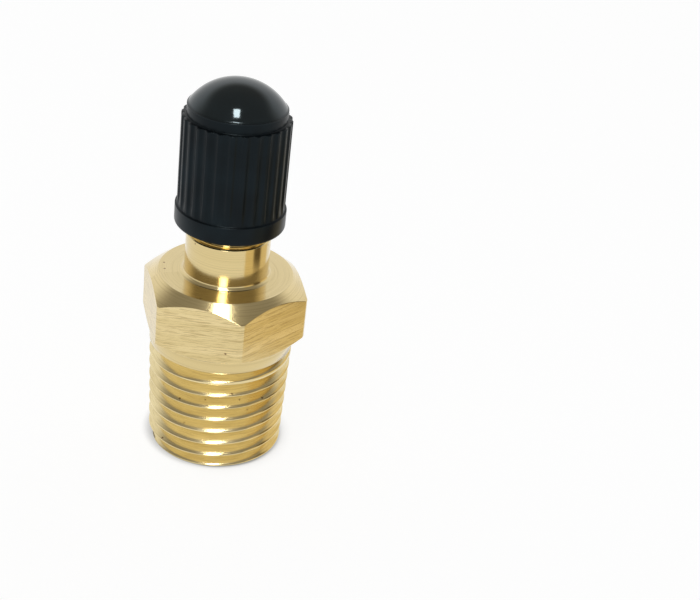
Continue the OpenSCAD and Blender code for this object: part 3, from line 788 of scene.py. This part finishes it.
def makeCap():
    count = cap["ribs"] * cap["perRib"]
    high = cap["top"] - cap["bandTop"]
    ball = (cap["dome"] ** 2 + high ** 2) / (2 * high)
    centre = cap["top"] - ball
    corner = cap["corner"]
    rounded = [(cap["collar"] - corner + corner * math.sin(math.radians(a)),
                cap["low"] + corner - corner * math.cos(math.radians(a))) for a in range(0, 91, 15)]
    rows = cap["gripRows"]
    gripHigh = cap["ribTop"] - cap["collarTop"] - 0.16       # leaves room for the rounding at the top
    grip = [(cap["rib"], cap["collarTop"] + 0.001 + gripHigh * i / rows) for i in range(1, rows + 1)]
    steps = roundCorners([
        (cap["collar"], cap["low"] + corner + 0.05), (cap["collar"], cap["collarTop"] - 0.02),
        (cap["rib"], cap["collarTop"]), grip[0]], cap["collarRound"], 4)
    shoulder = roundCorners([
        grip[-1], (cap["rib"], cap["ribTop"]), (cap["band"], cap["ribTop"]), (cap["band"], cap["bandTop"]),
        (cap["dome"], cap["bandTop"])], cap["shoulderRound"], 4)
    dome = arcPoints(ball, centre, cap["dome"], cap["pole"], cap["domeSteps"])
    skin = lathe("capSkin", rounded + steps[1:-1] + grip[1:-1] + shoulder[:-1] + dome, count)
    modifier = skin.modifiers.new("ribs", "NODES")
    modifier.node_group = ribTree
    for key, value in {
        "Ribs": cap["ribs"], "Rib Radius": cap["rib"] * mm, "Depth": cap["ribDepth"] * mm,
        "Groove Radius": cap["grooveRadius"] * mm, "Turn": cap["ribTurn"],
        "Low": (cap["collarTop"] + 0.02) * mm, "High": (cap["ribTop"] + 0.01) * mm,
        "Run Out": cap["runOut"] * mm, "Rounding": cap["ribRound"] * mm, "Material": capPlastic,
    }.items():
        setInput(modifier, key, value)
    skin = evaluated(skin, "capSkin")
    mouth = lathe("capMouth", roundCorners([
        (cap["mouth"] + corner, cap["low"]), (cap["mouth"], cap["low"] + 0.05),
        (cap["mouth"], cap["mouthHigh"]), (cap["minor"] + 0.02, cap["mouthHigh"] + cap["mouthSlope"]),
    ], cap["innerRound"]), count)
    thread = threadedTube("capThread", capThread, capPlastic)
    inner = arcPoints(ball - cap["domeWall"], centre, cap["hollow"], cap["pole"], cap["roofSteps"])
    roof = lathe("capRoof", roundCorners([
        (cap["pocket"], stemTop + 0.02), (cap["pocket"], cap["pocketTop"]), (cap["hollow"], cap["pocketTop"]),
        (cap["hollow"], cap["hollowTop"])], cap["innerRound"]) + inner, count)
    whole = chain("dustCap", [skin, mouth, thread, roof],
                  [((0, 0), (1, 0)), ((1, 1), (2, 0)), ((2, 1), (3, 0))])
    closePoles(whole)
    whole.data.materials.clear()
    whole.data.materials.append(capPlastic)
    return whole


def closePoles(thing):
    work = bmesh.new()
    work.from_mesh(thing.data)
    bmesh.ops.holes_fill(work, edges=[e for e in work.edges if e.is_boundary], sides=0)
    bmesh.ops.recalc_face_normals(work, faces=work.faces)
    work.to_mesh(thing.data)
    work.free()
    thing.data.shade_smooth()


dustCap = makeCap()
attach(dustCap, "cap")
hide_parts("dust_cap")
print("cap made:", len(dustCap.data.polygons), "faces")


pin = {
    "radius": 0.5, "shank": 0.8, "rivet": 0.7, "rivetChamfer": 0.1, "cupLow": 19.35, "tip": 0.28,
    "stopLow": 26.5, "stopHigh": 26.9, "columns": 64, "round": 0.03,
}


def makePin():
    low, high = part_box("core_pin")
    r = pin["radius"]
    tip = pin["tip"]
    shank = pin["shank"]
    stop = high.x / mm
    top = high.z / mm
    bottom = low.z / mm
    angles = [math.radians(15 * i) for i in range(1, 7)]
    button = [(r, top - tip)] + [(r - tip + tip * math.cos(a), top - tip + tip * math.sin(a)) for a in angles]
    outline = [
        (0, bottom), (pin["rivet"], bottom), (shank, bottom + pin["rivetChamfer"]), (shank, pin["cupLow"]),
        (r, pin["cupLow"]), (r, pin["stopLow"]), (stop, pin["stopLow"]), (stop, pin["stopHigh"]),
        (r, pin["stopHigh"])] + button + [(0, top)]
    thing = closedLathe("corePin", outline, pin["columns"], pin["round"])
    thing.data.materials.append(coreBrass)
    return thing


spring = {"wire": 0.14, "workingTurns": 7.0, "closedTurns": 1.5, "points": 480, "wireCorners": 14}


def makeSpring():
    low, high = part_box("core_spring")
    thing = makeObject("springSeed", [(0, 0, 0)], [])
    modifier = thing.modifiers.new("spring", "NODES")
    modifier.node_group = springTree
    wire = spring["wire"] * mm
    for key, value in {
        "Coil Radius": high.x - wire, "Wire Radius": wire, "Wire Corners": spring["wireCorners"],
        "Low": low.z, "High": high.z, "Working Turns": spring["workingTurns"],
        "Closed Turns": spring["closedTurns"], "Points": spring["points"], "Material": springSteel,
    }.items():
        setInput(modifier, key, value)
    coil = evaluated(thing, "coreSpring")
    coil.data.shade_smooth()
    return coil


corePin = makePin()
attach(corePin, "plunger")
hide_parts("core_pin")
coreSpring = makeSpring()
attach(coreSpring, "barrel")
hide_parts("core_spring")
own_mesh(coreSpring)

carried = {
    "cap_seal": sealRubber, "core_plug": coreBrass, "core_barrel": coreBrass, "plunger_cup": coreBrass,
    "barrel_gasket": gasketRubber, "cup_gasket": gasketRubber,
}
for node, material in carried.items():
    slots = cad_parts[node].data.materials
    slots.clear()
    slots.append(material)
print("core made")


floorLook = {
    "half": 2.0, "paint": (0.87, 0.9, 0.94, 1), "glow": 1.2, "glowShare": 0.72,
    # painted contact shadow: how dim the floor's glow gets next to the valve, and how far that reaches
    "paintedShadowGlow": 0.1, "paintedShadowReach": 1.3,
}


def makeFloor():
    size = floorLook["half"]
    corners = [(-size, -size, foot), (size, -size, foot), (size, size, foot), (-size, size, foot)]
    floor = makeObject("floor", corners, [(0, 1, 2, 3)])
    material = bpy.data.materials.new("paleFloor")
    material.use_nodes = True
    tree = material.node_tree
    tree.nodes.clear()
    diffuse = tree.nodes.new("ShaderNodeBsdfDiffuse")
    diffuse.inputs["Color"].default_value = floorLook["paint"]
    glow = tree.nodes.new("ShaderNodeEmission")
    # the glow dims where the valve is close by, through ambient occlusion: a painted contact shadow on the floor
    near = tree.nodes.new("ShaderNodeAmbientOcclusion")
    near.inputs["Distance"].default_value = floorLook["paintedShadowReach"] * mm
    strength = mapRange(tree, near.outputs["AO"], 0.0, 1.0, floorLook["paintedShadowGlow"], floorLook["glow"])
    tree.links.new(strength, glow.inputs["Strength"])
    mix = tree.nodes.new("ShaderNodeMixShader")
    mix.inputs[0].default_value = floorLook["glowShare"]
    tree.links.new(diffuse.outputs[0], mix.inputs[1])
    tree.links.new(glow.outputs[0], mix.inputs[2])
    # from below the floor is clear, so that the end face can be seen
    under = tree.nodes.new("ShaderNodeMixShader")
    tree.links.new(tree.nodes.new("ShaderNodeNewGeometry").outputs["Backfacing"], under.inputs[0])
    tree.links.new(mix.outputs[0], under.inputs[1])
    tree.links.new(tree.nodes.new("ShaderNodeBsdfTransparent").outputs[0], under.inputs[2])
    out = tree.nodes.new("ShaderNodeOutputMaterial")
    tree.links.new(under.outputs[0], out.inputs[0])
    floor.data.materials.append(material)


room = {
    "dim": 0.29, "bright": 0.66, "backFrom": -0.1, "backTo": 0.6, "wallFrom": 0.5, "wallTo": 0.78,
    "horizonFrom": 0.1, "horizonTo": 0.24, "warm": (1, 0.95, 0.86, 1), "white": (1, 1, 1, 1),
    "wallX": 0.23, "wallY": 0.973,      # the way from the camera to the wall
}


def makeWorld():
    # a white horizon all round, a bright wall behind the valve, a dim room in front and overhead
    world = bpy.data.worlds.new("studio")
    scene.world = world
    world.use_nodes = True
    tree = world.node_tree
    tree.nodes.clear()
    split = tree.nodes.new("ShaderNodeSeparateXYZ")
    tree.links.new(tree.nodes.new("ShaderNodeTexCoord").outputs["Generated"], split.inputs[0])
    calc = calculator(tree)
    away = calc("ADD", calc("MULTIPLY", split.outputs[0], room["wallX"]),
                calc("MULTIPLY", split.outputs[1], room["wallY"]))
    behind = tree.nodes.new("ShaderNodeMapRange")
    behind.interpolation_type = "SMOOTHSTEP"
    fill(tree, behind, [away, room["backFrom"], room["backTo"], 0.0, 1.0])
    below = tree.nodes.new("ShaderNodeMapRange")
    below.interpolation_type = "SMOOTHSTEP"
    fill(tree, below, [split.outputs[2], room["wallTo"], room["wallFrom"], 0.0, 1.0])
    wall = calc("MULTIPLY", behind.outputs[0], below.outputs[0])
    horizon = mapRange(tree, split.outputs[2], room["horizonTo"], room["horizonFrom"], 0.0, 1.0)
    level = calc("MAXIMUM", horizon, calc("ADD", room["dim"], calc("MULTIPLY", wall, room["bright"])))
    back = tree.nodes.new("ShaderNodeBackground")
    pale = calc("MAXIMUM", horizon, wall)
    tree.links.new(mixColour(tree, pale, room["warm"], room["white"]), back.inputs["Color"])
    out = tree.nodes.new("ShaderNodeOutputWorld")
    tree.links.new(level, back.inputs["Strength"])
    tree.links.new(back.outputs[0], out.inputs[0])


lamps = {
    "softbox": {"place": (-0.078, -0.248, 0.6), "size": (0.115, 0.2), "power": 1.4,
                "turn": (0, 0, math.radians(-13.3)), "unseenBy": "visible_diffuse"},
    "window": {"place": (-0.165, -0.5, 0.31), "size": (0.17, 0.36), "power": 1.6,
               "unseenBy": "visible_diffuse"},
    "overhead": {"place": (-0.2, -0.15, 0.7), "size": (0.4, 0.4), "power": 0.6,
                 "unseenBy": "visible_glossy"},
}
lampAim = Vector((0, 0, 0.02))


def makeLamp(name, look):
    light = bpy.data.lights.new(name, "AREA")
    light.shape = "RECTANGLE"
    light.size, light.size_y = look["size"]
    light.energy = look["power"]
    lamp = bpy.data.objects.new(name, light)
    scene.collection.objects.link(lamp)
    lamp.location = look["place"]
    if "turn" in look:
        lamp.rotation_euler = look["turn"]
    else:
        lamp.rotation_euler = (lampAim - Vector(look["place"])).to_track_quat("-Z", "Y").to_euler()
    setattr(lamp, look["unseenBy"], False)


card = {
    "away": 0.024, "near": -0.022, "far": 0.016, "low": 0.0004, "high": 0.024,
    "turn": math.radians(-13.3), "warm": (0.84, 0.7, 0.42, 1), "dark": (0.1, 0.07, 0.03, 1),
    "stripe": -0.009, "stripeHalf": 0.0062, "stripeFrom": 0.008, "stripeFull": 0.0095,
}


def makeCard():
    # a warm card on the right that only reflections see, with a dark stripe
    sides = [(card["near"], card["low"]), (card["far"], card["low"]),
             (card["far"], card["high"]), (card["near"], card["high"])]
    corners = [(card["away"], y, z + foot) for y, z in sides]
    c, t = math.cos(card["turn"]), math.sin(card["turn"])
    thing = makeObject("card", [(x * c - y * t, x * t + y * c, z) for x, y, z in corners], [(0, 1, 2, 3)])
    material = bpy.data.materials.new("cardTone")
    material.use_nodes = True
    tree = material.node_tree
    tree.nodes.clear()
    calc = calculator(tree)
    split = tree.nodes.new("ShaderNodeSeparateXYZ")
    tree.links.new(tree.nodes.new("ShaderNodeTexCoord").outputs["Object"], split.inputs[0])
    along = calc("ABSOLUTE", calc("SUBTRACT", split.outputs[1], card["stripe"]))
    inside = mapRange(tree, along, card["stripeHalf"], card["stripeHalf"] * 0.6, 0.0, 1.0)
    low, full = foot + card["stripeFrom"], foot + card["stripeFull"]
    upper = mapRange(tree, split.outputs[2], low, full, 0.0, 1.0)
    tone = mixColour(tree, calc("MULTIPLY", inside, upper), card["warm"], card["dark"])
    glow = tree.nodes.new("ShaderNodeEmission")
    out = tree.nodes.new("ShaderNodeOutputMaterial")
    tree.links.new(tone, glow.inputs["Color"])
    tree.links.new(glow.outputs[0], out.inputs[0])
    thing.data.materials.append(material)
    thing.visible_camera = False
    thing.visible_shadow = False
    thing.visible_diffuse = False


view = {
    "aim": (0, 0, 0.015), "distance": 0.1255, "azimuth": -13.3, "elevation": 29.88, "roll": 4.25,
    "lens": 66.67, "left": 5.56, "down": 0.041,
}


def makeCamera():
    a, e, roll = (math.radians(view[k]) for k in ("azimuth", "elevation", "roll"))
    back = Vector((math.sin(a) * math.cos(e), -math.cos(a) * math.cos(e), math.sin(e)))
    right = Vector((math.cos(a), math.sin(a), 0))
    up = back.cross(right)
    tiltedRight = right * math.cos(roll) + up * math.sin(roll)
    tiltedUp = up * math.cos(roll) - right * math.sin(roll)
    left, down = math.radians(view["left"]), math.radians(view["down"])
    ray = Vector((-math.tan(left), -math.tan(down), -1)).normalized()
    turn = Vector((0, 0, -1)).rotation_difference(ray).to_matrix()
    axes = (turn @ Matrix((tiltedRight, tiltedUp, back))).transposed()
    data = bpy.data.cameras.new("camera")
    data.lens = view["lens"]
    data.sensor_width = 36
    data.clip_start = 0.001
    camera = bpy.data.objects.new("camera", data)
    scene.collection.objects.link(camera)
    camera.matrix_world = Matrix.Translation(Vector(view["aim"]) + back * view["distance"]) @ axes.to_4x4()
    scene.camera = camera


makeFloor()
makeWorld()
for name, look in lamps.items():
    makeLamp(name, look)
makeCard()
makeCamera()
scene.view_settings.view_transform = "Standard"
print("stage set")
